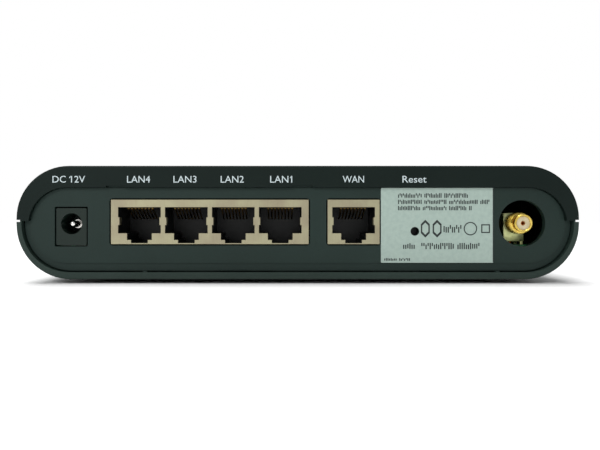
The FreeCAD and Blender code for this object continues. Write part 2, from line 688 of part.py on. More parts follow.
def port_profile(drawing, x):
    """The stepped socket opening: a wide mouth with a keyway for the plug's latch below."""
    half, key, slot = "port_wide / 2", "port_key_wide / 2", "port_slot_wide / 2"
    right = [(half, "port_top"), (half, "port_shelf"), (key, "port_shelf"),
             (key, "port_key_low"), (slot, "port_key_low"), (slot, "port_slot_low")]
    corners = [(f"{x} + {across}", up) for across, up in right]
    corners += [(f"{x} - {across}", up) for across, up in reversed(right)]
    polygon(drawing, corners)


def port_middles(name):
    """The sockets' middles, from the jack's own middle."""
    count = int(worth(f"{name}_ports"))
    return [f"({port} - ({name}_ports - 1) / 2) * port_pitch" for port in range(count)]


def jack_shield(name, place):
    """The tinned can: five folded sides, open below, with spring bumps in each mouth."""
    can = Piece(f"{name}_jack_shield", place)
    middle = "(can_low + can_top) / 2"
    width = f"{name}_width"
    drawing = can.sketch("XZ", ("0", "0", middle))
    rectangle(drawing, width, "can_top - can_low")
    can.pad(drawing, "can_depth", along=False)
    drawing = can.sketch("XY", ("0", "can_depth / 2", "can_low"))
    rectangle(drawing, f"{width} - 2 * can_sheet", "can_depth - 2 * can_sheet")
    can.pocket(drawing, "can_top - can_low - can_sheet", along=True)
    drawing = can.sketch("XZ")
    for x in port_middles(name):
        port_profile(drawing, x)
    can.pocket(drawing, "can_sheet")
    bumps = can.sketch("XZ", ("0", "0", "can_bump_middle"))
    for x in port_middles(name):
        for sign in "-+":
            across = f"{x} {sign} (port_wide / 2 - can_bump / 2)"
            rectangle(bumps, "can_bump", "can_bump_tall", (across, "0"))
    can.pad(bumps, "can_bump_deep", along=False)
    tabs = can.sketch("XY", ("0", "can_tab_back", "can_low + 0.5"))
    for sign in "-+":
        rectangle(tabs, "can_sheet", "can_tab", (f"0 {sign} ({width} - can_sheet) / 2", "0"))
    can.pad(tabs, "can_low + 0.5 + can_tab_drop", along=False)


def jack_housing(name, place):
    """The black insert with one socket per port and a row of wire windows in its roof."""
    insert = Piece(f"{name}_jack_housing", place)
    front = "can_sheet + 0.02"
    drawing = insert.sketch("XZ", ("0", front, f"(can_low + insert_roof) / 2"))
    rectangle(drawing, f"{name}_width - 2 * (can_sheet + insert_gap)",
              f"insert_roof - can_low")
    insert.pad(drawing, f"insert_depth", along=False)
    drawing = insert.sketch("XZ", ("0", front, "0"))
    for x in port_middles(name):
        port_profile(drawing, x)
    insert.pocket(drawing, "port_depth")
    drawing = insert.sketch("XY", ("0", "1.55", f"insert_roof"))
    for x in port_middles(name):
        rectangle(drawing, "port_wires * port_wire_pitch + 0.4", "1.5", (x, "0"))
    insert.pocket(drawing, "1")


def jack_leads(name, place):
    """The fixed part of the contact wires: over the insert's roof and down to the board."""
    leads = Piece(f"{name}_contact_leads", place)
    first = f"-({name}_ports - 1) / 2 * port_pitch - (port_wires - 1) / 2 * port_wire_pitch"
    drawing = leads.sketch("YZ", (first, "0", "0"))
    near, far = "lead_front", "lead_back"
    half = "lead_thick / 2"
    polygon(drawing, [
        (near, "lead_hook"), (near, "lead_top"), (f"{far} + {half}", "lead_top"),
        (f"{far} + {half}", "-lead_drop"), (f"{far} - {half}", "-lead_drop"),
        (f"{far} - {half}", "lead_top - lead_thick"),
        (f"{near} + lead_thick", "lead_top - lead_thick"), (f"{near} + lead_thick", "lead_hook")])
    wire = leads.pad(drawing, "port_wire", both=True)
    leads.repeat_grid([wire], [("X", "port_wires", "port_wire_pitch"),
                               ("X", f"{name}_ports", "port_pitch")])


def port_contacts(label, x):
    """The eight sprung wire ends of one socket, which the plug pushes up."""
    comb = Piece(label, (x, "jack_face", "board_top"))
    first = "-(port_wires - 1) / 2 * port_wire_pitch"
    drawing = comb.sketch("YZ", (first, "0", "0"))
    polygon(drawing, [
        ("comb_root", "comb_high"), ("comb_root", "comb_high - comb_thick"),
        ("comb_root + 0.4", "comb_high - comb_thick"), ("comb_tip - 0.8", "comb_low"),
        ("comb_tip", "comb_low"), ("comb_tip", "comb_low + comb_thick"),
        ("comb_tip - 0.8", "comb_low + comb_thick"), ("comb_root + 0.5", "comb_high")])
    wire = comb.pad(drawing, "port_wire", both=True)
    comb.repeat([wire], "X", "port_wires", "port_wire_pitch")


def network_jacks():
    """The ganged four-port jack and the single jack, with their contacts."""
    for name in ("lan", "wan"):
        place = (f"{name}_x", "jack_face", "board_top")
        jack_shield(name, place)
        jack_housing(name, place)
        jack_leads(name, place)
    count = int(worth("lan_ports"))
    for port in range(count):
        x = f"lan_x + ((lan_ports - 1) / 2 - {port}) * port_pitch"
        port_contacts(f"lan{port + 1}_contacts", x)
    port_contacts("wan_contacts", "wan_x")


# ---------------------------------------------------------------- reset switch

def reset_switch():
    """A board-mounted push switch whose stem ends just behind the reset hole."""
    place = ("reset_x", "reset_face", "board_top")
    base = Piece("reset_switch_body", place)
    drawing = base.sketch("XZ", ("0", "0", "switch_tall / 2"))
    rectangle(drawing, "switch_wide", "switch_tall")
    base.pad(drawing, "switch_deep", along=False)
    drawing = base.sketch("XZ", ("0", "0", "reset_axis"))
    circles(drawing, "reset_stem + reset_slack")
    base.pocket(drawing, "reset_well")

    button = Piece("reset_button", place)
    drawing = button.sketch("XZ", ("0", "-reset_stick", "reset_axis"))
    circles(drawing, "reset_stem")
    button.pad(drawing, "reset_stick + reset_inside", along=False)
    front = worth("-reset_stick")
    button.soften("0.3", lambda edge: edge.BoundBox.YMax < front + 0.01)

    dome = Piece("reset_dome", place)
    drawing = dome.sketch("XZ", ("0", "reset_well", "reset_axis"))
    circles(drawing, "dome_radius")
    dome.pad(drawing, "dome_rise")
    crown = worth("reset_well - dome_rise")
    dome.soften("dome_rise * 0.8", lambda edge: edge.BoundBox.YMax < crown + 0.01)

    cover = Piece("reset_switch_cover", place)
    outer, inner = "switch_wide / 2 + switch_slack + switch_cover", "switch_wide / 2 + switch_slack"
    high, under = "switch_tall + switch_slack + switch_cover", "switch_tall + switch_slack"
    drawing = cover.sketch("XZ", ("0", "0.2", "0"))
    polygon(drawing, [(f"-({outer})", "0"), (f"-({outer})", high), (outer, high), (outer, "0"),
                      (inner, "0"), (inner, under), (f"-({inner})", under), (f"-({inner})", "0")])
    cover.pad(drawing, "switch_deep - 0.4", along=False)


# ---------------------------------------------------------------- antenna jack

def antenna_jack():
    """The coaxial jack: gold body with four legs, white insulator and centre contact."""
    place = ("antenna_x", "antenna_tip", "board_top")
    body = Piece("antenna_jack_body", place)
    for radius, start, end in (("antenna_nose", "0", "gold_nose"),
                               ("antenna_thread", "gold_nose", "gold_thread"),
                               ("gold_neck", "gold_thread", "gold_block")):
        drawing = body.sketch("XZ", ("0", start, "antenna_axis"))
        circles(drawing, radius)
        body.pad(drawing, f"{end} - {start}", along=False)
    drawing = body.sketch("XZ", ("0", "gold_block", "(gold_low + gold_high) / 2"))
    rectangle(drawing, "gold_wide", "gold_high - gold_low")
    body.pad(drawing, "gold_block_deep", along=False)
    drawing = body.sketch("XY", ("0", "leg_middle", "gold_low + 0.2"))
    for across in "+-":
        for along in "+-":
            rectangle(drawing, "gold_leg", "gold_leg", (f"0 {across} leg_half", f"0 {along} leg_half"))
    body.pad(drawing, "gold_low + 0.2 + leg_drop", along=False)
    drawing = body.sketch("XZ", ("0", "0", "antenna_axis"))
    circles(drawing, "antenna_bore")
    body.pocket(drawing, "leg_middle + 1.6")
    drawing = body.sketch("XY", ("0", "leg_middle", "gold_low"))
    rectangle(drawing, "core_well", "core_well")
    body.pocket(drawing, "antenna_axis - gold_low", along=True)

    insulator = Piece("antenna_jack_insulator", place)
    drawing = insulator.sketch("XZ", ("0", "core_front", "antenna_axis"))
    circles(drawing, "antenna_bore - core_slack")
    insulator.pad(drawing, "core_back - core_front", along=False)
    drawing = insulator.sketch("XZ", ("0", "core_front", "antenna_axis"))
    circles(drawing, "core_pin + core_slack")
    insulator.pocket(drawing, "core_back")

    contact = Piece("antenna_jack_contact", place)
    drawing = contact.sketch("XZ", ("0", "core_pin_front", "antenna_axis"))
    circles(drawing, "core_pin")
    contact.pad(drawing, "leg_middle + 0.9 - core_pin_front", along=False)
    drawing = contact.sketch("XY", ("0", "leg_middle", "antenna_axis"))
    rectangle(drawing, "core_tail", "core_tail")
    contact.pad(drawing, "antenna_axis + leg_drop", along=False)


# ---------------------------------------------------------------- parts on the board

def flat_pack(label, pins_x=0, pins_y=0):
    """A moulded chip with its feet in rows along the sides that have them."""
    chip = Piece(label, (f"{label}_x", f"{label}_y", "board_top"))
    long = "chip_foot + 0.4"
    for pins, wide, deep, axis in ((pins_x, long, "chip_foot_wide", "Y"),
                                   (pins_y, "chip_foot_wide", long, "X")):
        if not pins:
            continue
        start = f"-({pins} - 1) * chip_pitch / 2"
        across = f"({label}_{'wide' if axis == 'Y' else 'deep'} / 2 + chip_foot - ({long}) / 2)"
        drawing = chip.sketch("XY", ("0", start, "0") if axis == "Y" else (start, "0", "0"))
        for sign in ("-", ""):
            middle = (sign + across, "0") if axis == "Y" else ("0", sign + across)
            rectangle(drawing, wide, deep, middle)
        chip.repeat([chip.pad(drawing, "0.25")], axis, pins, "chip_pitch")
    drawing = chip.sketch("XY", ("0", "0", "0.1"))
    rectangle(drawing, f"{label}_wide", f"{label}_deep")
    chip.pad(drawing, f"{label}_tall - 0.1")
    top = worth(f"{label}_tall")
    chip.soften("0.2", lambda edge: edge.BoundBox.ZMin > top - 0.01, kind="Chamfer")


def upright_group(label, middles, rounding):
    """Equal round parts that stand on the board, rounded at the top."""
    group = Piece(label, ("0", "0", "board_top"))
    drawing = group.sketch("XY")
    circles(drawing, f"{label}_radius", [(str(x), str(y)) for x, y in middles])
    group.pad(drawing, f"{label}_tall")
    top = worth(f"{label}_tall")
    group.soften(rounding, lambda edge: edge.BoundBox.ZMin > top - 0.01)


def box_group(label, middles, rounding=None):
    """Equal box-shaped parts that stand on the board."""
    group = Piece(label, ("0", "0", "board_top"))
    drawing = group.sketch("XY")
    for x, y in middles:
        rectangle(drawing, f"{label}_wide", f"{label}_deep", (str(x), str(y)))
    group.pad(drawing, f"{label}_tall")
    if rounding:
        group.soften(rounding, lambda edge: edge.BoundBox.ZLength > worth(f"{label}_tall") - 0.01)


def box_grid(label, columns, rows):
    """Equal small blocks on the board, in a grid that starts at the label's x and y."""
    group = Piece(label, (f"{label}_x", f"{label}_y", "board_top"))
    drawing = group.sketch("XY")
    rectangle(drawing, f"{label}_wide", f"{label}_deep")
    part = group.pad(drawing, f"{label}_tall")
    group.repeat_grid([part], [("X", columns, "chip_column"), ("Y", rows, "chip_row")])


def radio_shield():
    """A soldered fence round the radio circuit, and the lid that snaps over it."""
    place = ("fence_x", "fence_y", "board_top")
    fence = block("radio_shield_frame", place, "fence_wide", "fence_deep", "fence_tall", "0.8")
    drawing = fence.sketch("XY", ("0", "0", "fence_tall"))
    softened(drawing, "fence_wide - 2 * fence_sheet", "fence_deep - 2 * fence_sheet", "0.55")
    fence.pocket(drawing, "fence_tall")
    over = "2 * (fence_sheet + fence_slack)"
    lid_place = ("fence_x", "fence_y", "board_top + 0.3")
    lid = block("radio_shield_lid", lid_place, f"fence_wide + {over}", f"fence_deep + {over}",
                "fence_lid - 0.3", "1.1")
    drawing = lid.sketch("XY")
    softened(drawing, "fence_wide + 2 * fence_slack", "fence_deep + 2 * fence_slack", "0.85")
    lid.pocket(drawing, "fence_lid - 0.3 - fence_sheet", along=True)


def lights():
    """One small light under each pipe of the light guide."""
    first = -(worth("lamp_count") - 1) / 2
    pitch = worth("lamp_pitch")
    y = worth("pipe_rear + pipe_leg / 2")
    middles = [((first + index) * pitch, y) for index in range(int(worth("lamp_count")))]
    box_group("status_leds", middles)


def board_parts():
    """The chips and power parts that the router needs, laid out behind the jacks."""
    flat_pack("processor_chip", pins_x=15, pins_y=15)
    flat_pack("switch_chip", pins_x=12, pins_y=12)
    flat_pack("memory_chip", pins_x=9)
    flat_pack("flash_chip", pins_x=4)
    flat_pack("radio_chip", pins_x=8, pins_y=8)
    flat_pack("lan_magnetics_left", pins_y=12)
    flat_pack("lan_magnetics_right", pins_y=12)
    flat_pack("wan_magnetics", pins_y=9)
    flat_pack("power_regulator", pins_y=5)
    upright_group("electrolytic_capacitors", [(-70, -20), (-60, -14), (-70, 2), (-58, 4)], "0.6")
    box_group("power_inductors", [(-46, -14), (-46, 12)], "1.6")
    box_group("crystals", [(-6, -13), (10, 20)], "2.0")
    box_grid("ceramic_capacitors", 8, 3)
    box_grid("chip_resistors", 4, 5)
    box_group("service_header", [(column * 2.54 - 40, 36) for column in range(4)])


# ---------------------------------------------------------------- build and write

def build():
    top_cover()
    bottom_case()
    rear_panel()
    front_panel()
    led_window()
    light_guide()
    rubber_feet()
    case_screws()
    board_screws()
    rating_label()
    dc_jack()
    network_jacks()
    reset_switch()
    antenna_jack()
    main_board()
    radio_shield()
    board_parts()
    lights()
    doc.recompute()


def check():
    """Stop if any object failed or any sub-part has no valid solid."""
    for item in doc.Objects:
        if {"Invalid", "Error"} & set(item.State):
            raise ValueError(f"{item.Label} failed: {item.State}")
    for body in pieces:
        if body.Shape.isNull() or not body.Shape.isValid() or not body.Shape.Solids:
            raise ValueError(f"{body.Label} has no valid solid")


def write():
    """One STEP file for each sub-part."""
    os.makedirs("parts", exist_ok=True)
    for body in pieces:
        body.Shape.exportStep(f"parts/{body.Label}.step")
        print(f"{body.Label}: {len(body.Shape.Solids)} solids, {body.Shape.Volume:.1f} mm3")


build()
check()
write()
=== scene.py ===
# %% [markdown]
# # A small wireless router, seen from its socket side
#
# The object is a flat box of dark moulded plastic. Its two shells close on two end panels.
# Behind them sits a circuit board with a power inlet, five network sockets, a reset
# switch and a threaded antenna jack.
#
# The shapes that carry and fit come ready made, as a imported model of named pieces.
# This lesson gives them their finishes, and it models the fine parts that a moulder,
# a printer and a lathe would add: printed words, thread, sprung metal and ink.
# All lengths are typed in millimetres and turned into metres in one place.

# %% Load the ready-made pieces
import math
import random

import bmesh
import bpy
from mathutils import Matrix, Vector


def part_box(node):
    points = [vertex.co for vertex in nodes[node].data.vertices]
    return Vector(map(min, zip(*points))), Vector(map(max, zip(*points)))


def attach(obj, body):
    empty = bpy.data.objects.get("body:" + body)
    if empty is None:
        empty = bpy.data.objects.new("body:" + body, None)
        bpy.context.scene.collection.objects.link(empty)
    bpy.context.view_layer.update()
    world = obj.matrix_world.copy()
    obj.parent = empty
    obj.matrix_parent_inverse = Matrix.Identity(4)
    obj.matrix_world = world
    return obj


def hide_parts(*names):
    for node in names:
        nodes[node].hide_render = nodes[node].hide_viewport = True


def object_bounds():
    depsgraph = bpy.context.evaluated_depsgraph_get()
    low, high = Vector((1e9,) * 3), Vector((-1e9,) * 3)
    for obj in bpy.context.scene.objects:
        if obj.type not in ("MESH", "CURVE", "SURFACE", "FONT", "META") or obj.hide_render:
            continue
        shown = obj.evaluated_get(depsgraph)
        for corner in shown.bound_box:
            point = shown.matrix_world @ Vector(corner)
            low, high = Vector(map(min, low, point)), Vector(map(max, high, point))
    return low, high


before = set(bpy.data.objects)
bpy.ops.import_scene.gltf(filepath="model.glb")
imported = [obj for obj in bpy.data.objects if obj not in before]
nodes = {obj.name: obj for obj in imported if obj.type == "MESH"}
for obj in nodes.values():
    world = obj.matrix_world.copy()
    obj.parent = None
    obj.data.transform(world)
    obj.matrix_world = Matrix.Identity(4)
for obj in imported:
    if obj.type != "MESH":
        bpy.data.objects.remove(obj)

cad_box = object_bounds()
MM = 0.001

# %% [markdown]
# ## The camera
#
# A product shot of a flat box can be taken from above, to show its top, or level with
# it, to show its sockets. This one is level: the lens looks straight at the socket side
# from about 17 cm, low enough to see the floor as a thin strip, and a little left of the
# middle. A lens shift puts the box in the frame without tilting the camera, so that
# upright edges stay upright.

# %% Camera
camera = bpy.data.objects.new("camera", bpy.data.cameras.new("camera"))
bpy.context.scene.collection.objects.link(camera)
bpy.context.scene.camera = camera
camera.location = (-4.96 * MM, -232.5 * MM, 18.03 * MM)
camera.rotation_euler = (math.radians(90), 0, 0)
camera.data.sensor_width = 36
camera.data.lens = 35.57
camera.data.shift_x = 0.0317
camera.data.shift_y = -0.0042
camera.data.clip_start = 0.01
print("camera at", [round(value / MM, 1) for value in camera.location], "mm")

# %% [markdown]
# ## Light, floor and sky
#
# Dark plastic on white needs light that is wide and even. One way is a ring of lamps,
# and another is one very broad sun with a pale sky all round. The broad sun is chosen,
# because it lights the whole floor alike, so floor and sky meet without a line. It stands
# high and behind, so the socket side stays dark and a soft shadow falls forwards. A
# small soft lamp in front puts sparks on the pin, the gold and the tin.

# %% Sky and floor
scene = bpy.context.scene
scene.view_settings.view_transform = "Standard"
sky = bpy.data.worlds.new("sky")
scene.world = sky
sky.use_nodes = True
sky_tree = sky.node_tree
sky_shader = sky_tree.nodes["Background"]
sky_shader.inputs["Color"].default_value = (1.0, 1.0, 1.0, 1.0)
SKY_LIGHT, SKY_SEEN = 0.45, 1.0
looked_at = sky_tree.nodes.new("ShaderNodeLightPath").outputs["Is Camera Ray"]
strength = sky_tree.nodes.new("ShaderNodeMapRange")
strength.inputs["To Min"].default_value = SKY_LIGHT
strength.inputs["To Max"].default_value = SKY_SEEN
sky_tree.links.new(looked_at, strength.inputs["Value"])
sky_tree.links.new(strength.outputs["Result"], sky_shader.inputs["Strength"])

floor_mesh = bpy.data.meshes.new("floor")
floor_shape = bmesh.new()
bmesh.ops.create_grid(floor_shape, x_segments=1, y_segments=1, size=6.0)
floor_shape.to_mesh(floor_mesh)
floor_shape.free()
floor = bpy.data.objects.new("floor", floor_mesh)
scene.collection.objects.link(floor)
floor.location.z = -0.02 * MM
print("floor", floor.dimensions[:2], "m, sky light", SKY_LIGHT)

# %% Lamps
def lamp(name, kind, place, aim, strength, **settings):
    """Hangs a lamp at a place, in metres, and turns it to look at a point."""
    light = bpy.data.lights.new(name, kind)
    light.energy = strength
    for key, value in settings.items():
        setattr(light, key, value)
    holder = bpy.data.objects.new(name, light)
    scene.collection.objects.link(holder)
    holder.location = place
    holder.rotation_euler = (Vector(aim) - Vector(place)).to_track_quat("-Z", "Y").to_euler()
    return holder


lamp("broad_sun", "SUN", (-0.18, 0.2, 1.0), (0, 0, 0), 3.0, angle=math.radians(45))
lamp("front_lamp", "AREA", (-0.3, -0.55, 0.36), (0, 0, 0.02), 1.4, size=0.2)

# %% [markdown]
# ## Tools for finishes
#
# A finish is a node material round one Principled shader. Each could be wired by hand
# from end to end. Short helpers are kinder: one starts a finish, one makes cloudy
# noise of a real size, and three more turn that noise into a colour, a roughness and a
# bump. The noise reads Object coordinates, which are metres here, so a grain of 0.3 mm
# is 0.3 mm on every piece.

# %% Helpers for finishes
def shade(red, green, blue):
    """Screen values from 0 to 255 as the linear colour that a shader wants."""
    return tuple((value / 255) ** 2.2 for value in (red, green, blue)) + (1.0,)


def add(tree, kind, inputs=(), **settings):
    """Adds a node, sets it up, and links or fills its inputs."""
    step = tree.nodes.new(kind)
    for key, value in settings.items():
        setattr(step, key, value)
    for key, value in dict(inputs).items():
        if isinstance(value, bpy.types.NodeSocket):
            tree.links.new(value, step.inputs[key])
        else:
            step.inputs[key].default_value = value
    return step


def start_finish(name, rough, metal=0.0, gloss=0.5):
    """A new finish: the material, its tree, its shader and the place on the piece."""
    material = bpy.data.materials.new(name)
    material.use_nodes = True
    tree = material.node_tree
    shader = tree.nodes["Principled BSDF"]
    shader.inputs["Roughness"].default_value = rough
    shader.inputs["Metallic"].default_value = metal
    shader.inputs["Specular IOR Level"].default_value = gloss
    place = tree.nodes.new("ShaderNodeTexCoord").outputs["Object"]
    return material, tree, shader, place


def cloud(tree, place, size, detail=2.0, stretch=(1, 1, 1)):
    """Cloudy noise from 0 to 1, whose blobs are about size millimetres across."""
    if stretch != (1, 1, 1):
        place = add(tree, "ShaderNodeMapping", {"Vector": place, "Scale": stretch}).outputs[0]
    noise = add(tree, "ShaderNodeTexNoise",
                {"Vector": place, "Scale": 1 / (size * MM), "Detail": detail})
    return noise.outputs["Fac"]


def tint(tree, shader, amount, dark, light, low=0.35, high=0.65):
    """Colours the shader from dark to light as the amount goes from low to high."""
    ramp = add(tree, "ShaderNodeValToRGB", {"Fac": amount})
    ramp.color_ramp.elements[0].position, ramp.color_ramp.elements[0].color = low, dark
    ramp.color_ramp.elements[1].position, ramp.color_ramp.elements[1].color = high, light
    tree.links.new(ramp.outputs["Color"], shader.inputs["Base Color"])
    return ramp.outputs["Color"]


def vary(tree, shader, amount, least, most, socket="Roughness"):
    """Lets the shader's roughness wander between two values."""
    spread = add(tree, "ShaderNodeMapRange",
                 {"Value": amount, "From Min": 0.3, "From Max": 0.7,
                  "To Min": least, "To Max": most})
    tree.links.new(spread.outputs["Result"], shader.inputs[socket])


def emboss(tree, shader, height, depth, strength=1.0):
    """Raises the surface by a height map; depth is in millimetres. Bumps add up."""
    bump = add(tree, "ShaderNodeBump",
               {"Height": height, "Distance": depth * MM, "Strength": strength})
    if shader.inputs["Normal"].is_linked:
        tree.links.new(shader.inputs["Normal"].links[0].from_socket, bump.inputs["Normal"])
    tree.links.new(bump.outputs["Normal"], shader.inputs["Normal"])


def maths(tree, operation, first, second=0.0):
    """One sum on numbers or on other sums."""
    return add(tree, "ShaderNodeMath", {0: first, 1: second}, operation=operation).outputs[0]


print("grey 128 is", round(shade(128, 128, 128)[0], 3), "in linear light")

# %% [markdown]
# ## Moulded plastic
#
# The shells are moulded in steel tools whose faces were etched by sparks, which leaves a
# fine, dull grain. A single grey would look like paint. Three layers make it plastic: a
# faint drift of colour over centimetres, a grain of a quarter of a millimetre that
# moves the roughness, and the same grain as a very shallow bump.

# %% Moulded plastics
finishes = {}


def moulded(name, dark, light, rough, grain=0.25, depth=0.01, gloss=0.35):
    """Dark moulded plastic with a spark-etched grain."""
    material, tree, shader, place = start_finish(name, rough, gloss=gloss)
    drift = cloud(tree, place, 22, detail=4)
    fine = cloud(tree, place, grain, detail=3)
    both = maths(tree, "ADD", maths(tree, "MULTIPLY", drift, 0.4),
                 maths(tree, "MULTIPLY", fine, 0.6))
    tint(tree, shader, both, shade(*dark), shade(*light))
    vary(tree, shader, fine, rough - 0.07, rough + 0.07)
    emboss(tree, shader, fine, depth)
    finishes[name] = material
    return material


moulded("case_plastic", (20, 29, 27), (27, 37, 34), 0.52, gloss=0.12)
moulded("base_plastic", (37, 50, 45), (45, 59, 54), 0.52, gloss=0.24)
moulded("panel_plastic", (28, 42, 38), (35, 50, 46), 0.55, grain=0.2, gloss=0.24)
moulded("inlet_plastic", (24, 36, 31), (31, 43, 38), 0.45, grain=0.3, gloss=0.26)
moulded("black_plastic", (15, 17, 17), (22, 24, 24), 0.42, grain=0.4, depth=0.006)
moulded("foot_rubber", (24, 24, 25), (33, 33, 34), 0.8, grain=0.5, depth=0.02, gloss=0.2)
print("plastics:", sorted(finishes))

# %% [markdown]
# ## Smoked and clear plastic
#
# The strip on the front is a tinted window, and the part behind it carries light from
# the board. The window is polished, so it gets a low roughness that a few hairline
# scratches disturb. The light guide is clear, and real transmission shows it best.

# %% Window and light guide
def polished(name, dark, light, rough, clear=0.0):
    """Smooth plastic that a few hairlines have scratched."""
    material, tree, shader, place = start_finish(name, rough)
    hair = cloud(tree, place, 0.5, detail=5, stretch=(0.05, 1, 1))
    tint(tree, shader, cloud(tree, place, 9), shade(*dark), shade(*light))
    vary(tree, shader, hair, rough, rough + 0.12)
    emboss(tree, shader, hair, 0.003)
    shader.inputs["Transmission Weight"].default_value = clear
    finishes[name] = material
    return material


polished("smoked_plastic", (10, 11, 14), (17, 18, 22), 0.08)
polished("clear_plastic", (214, 222, 222), (232, 238, 238), 0.12, clear=0.85)
print("polished:", "smoked_plastic", "clear_plastic")

# %% [markdown]
# ## Metals
#
# Tinned steel, gold plate and nickel differ in colour and in how they were worked. Sheet
# that came off a roll has streaks along one way, and turned or plated parts are cloudy.
# One helper does both, with a stretch that pulls the cloud into streaks.

# %% Metals
def metal(name, dark, light, rough, size=0.6, stretch=(1, 1, 1), depth=0.002, spread=0.12):
    """Bare or plated metal with a worked surface."""
    material, tree, shader, place = start_finish(name, rough, metal=1.0)
    worked = cloud(tree, place, size, detail=4, stretch=stretch)
    stain = cloud(tree, place, 7, detail=3)
    tint(tree, shader, stain, shade(*dark), shade(*light))
    vary(tree, shader, worked, rough - spread / 2, rough + spread)
    emboss(tree, shader, worked, depth)
    finishes[name] = material
    return material


metal("tinned_steel", (158, 150, 127), (170, 166, 137), 0.45, size=0.5, stretch=(1, 1, 0.12))
metal("screw_steel", (150, 152, 156), (186, 188, 192), 0.3, size=0.4)
metal("contact_metal", (214, 212, 208), (236, 234, 230), 0.16, size=0.8)
metal("gold_plate", (206, 172, 74), (240, 212, 112), 0.24, size=0.7)
# The socket contacts' gold is painted far darker than the gold plate above: painted shade of the
# dim socket interior.
metal("gold_contact", (104, 84, 50), (134, 110, 66), 0.34, size=0.3, stretch=(1, 0.2, 1))
metal("pale_plate", (206, 212, 150), (222, 226, 170), 0.45, size=0.9)
metal("copper_glow", (150, 84, 36), (176, 104, 50), 0.3, size=0.4)
metal("capacitor_can", (176, 178, 180), (204, 206, 208), 0.3, size=0.5)
print("metals:", [name for name in finishes if finishes[name].node_tree
                  .nodes["Principled BSDF"].inputs["Metallic"].default_value == 1])

# %% [markdown]
# ## Label film and ink
#
# The sticker is thin polyester film, pale blue-green, with a silky face. Its ink is a
# dark grey, and the ink on the shell is a pale one. Ink is never perfectly even, so
# both inks get a faint mottle.

# %% Film and inks
def coated(name, dark, light, rough, size=1.2, depth=0.003, gloss=0.4):
    """A thin, even coat such as film, ink or enamel."""
    material, tree, shader, place = start_finish(name, rough, gloss=gloss)
    mottle = cloud(tree, place, size, detail=4)
    tint(tree, shader, mottle, shade(*dark), shade(*light))
    vary(tree, shader, mottle, rough - 0.05, rough + 0.08)
    emboss(tree, shader, mottle, depth)
    finishes[name] = material
    return material


coated("label_film", (154, 172, 164), (162, 180, 171), 0.42, gloss=0.3)
coated("label_ink", (34, 40, 40), (48, 54, 53), 0.5, size=0.3)
coated("legend_ink", (184, 199, 202), (200, 213, 215), 0.5, size=0.3)
coated("white_insulator", (188, 176, 142), (204, 192, 160), 0.4)
coated("ceramic_chip", (150, 118, 84), (176, 144, 106), 0.4)
coated("led_package", (226, 228, 214), (240, 240, 228), 0.3)
coated("chip_plastic", (26, 27, 29), (36, 37, 39), 0.6, size=0.25, depth=0.008)
print("coats:", "label_film", "label_ink", "legend_ink")

# %% [markdown]
# ## The circuit board
#
# The board shows through the vents, so it needs more than green. Copper tracks under
# the green mask make slightly lighter, square-cornered paths, and bare pads make bright
# dots. Cell noise measured by its longest side draws square cells: their borders serve
# as tracks, and the middles of a second set of cells serve as pads.

# %% Circuit board
TRACK_PITCH, TRACK_WIDTH = 2.6, 0.12
PAD_PITCH, PAD_RADIUS = 3.4, 0.13
board, tree, shader, place = start_finish("circuit_board", 0.3)
tracks = {"Vector": place, "Scale": 1 / (TRACK_PITCH * MM)}
second = add(tree, "ShaderNodeTexVoronoi", tracks, distance="CHEBYCHEV", feature="F2")
nearest = add(tree, "ShaderNodeTexVoronoi", tracks, distance="CHEBYCHEV", feature="F1")
gap = maths(tree, "SUBTRACT", second.outputs["Distance"], nearest.outputs["Distance"])
track = maths(tree, "LESS_THAN", gap, TRACK_WIDTH)
dots = add(tree, "ShaderNodeTexVoronoi", {"Vector": place, "Scale": 1 / (PAD_PITCH * MM)})
pad = maths(tree, "LESS_THAN", dots.outputs["Distance"], PAD_RADIUS)
mask_ramp = add(tree, "ShaderNodeValToRGB", {"Fac": track})
mask_ramp.color_ramp.elements[0].color = shade(16, 66, 42)
mask_ramp.color_ramp.elements[1].color = shade(34, 98, 62)
pad_mix = add(tree, "ShaderNodeMix", {"Factor": pad, 6: mask_ramp.outputs["Color"],
                                      7: shade(196, 190, 170)}, data_type="RGBA")
tree.links.new(pad_mix.outputs[2], shader.inputs["Base Color"])
tree.links.new(pad, shader.inputs["Metallic"])
emboss(tree, shader, track, 0.03)
finishes["circuit_board"] = board
print("board tracks every", TRACK_PITCH, "mm or so")

# %% [markdown]
# ## Chips and their feet
#
# Each chip is one ready-made piece: a black moulded body with a row of tinned feet. The
# two need different finishes. Splitting the mesh is one way, and a mask is simpler: a
# point belongs to a foot if it lies outside the body's edge, which is the piece's box
# less the length of a foot.

# %% Chips
FOOT, NO_FEET = 1.2, -1.0


def chip_finish(node, feet_x, feet_y):
    """Black moulding inside the body's edge, and tin outside it."""
    low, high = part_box(node)
    middle, half = (low + high) / 2, (high - low) / 2
    material, tree, shader, place = start_finish(f"{node}_finish", 0.6)
    split = add(tree, "ShaderNodeSeparateXYZ", {"Vector": place})
    outside = []
    for axis, has_feet in enumerate((feet_x, feet_y)):
        reach = half[axis] - (FOOT if has_feet else NO_FEET) * MM
        away = maths(tree, "ABSOLUTE", maths(tree, "SUBTRACT", split.outputs[axis], middle[axis]))
        outside.append(maths(tree, "GREATER_THAN", away, reach))
    foot = maths(tree, "MAXIMUM", *outside)
    fine = cloud(tree, place, 0.2, detail=3)
    black = add(tree, "ShaderNodeValToRGB", {"Fac": fine})
    black.color_ramp.elements[0].color = shade(24, 25, 27)
    black.color_ramp.elements[1].color = shade(42, 43, 46)
    both = add(tree, "ShaderNodeMix", {"Factor": foot, 6: black.outputs["Color"],
                                       7: shade(190, 188, 180)}, data_type="RGBA")
    tree.links.new(both.outputs[2], shader.inputs["Base Color"])
    tree.links.new(foot, shader.inputs["Metallic"])
    vary(tree, shader, maths(tree, "SUBTRACT", 1.0, foot), 0.3, 0.62)
    emboss(tree, shader, fine, 0.006)
    return material


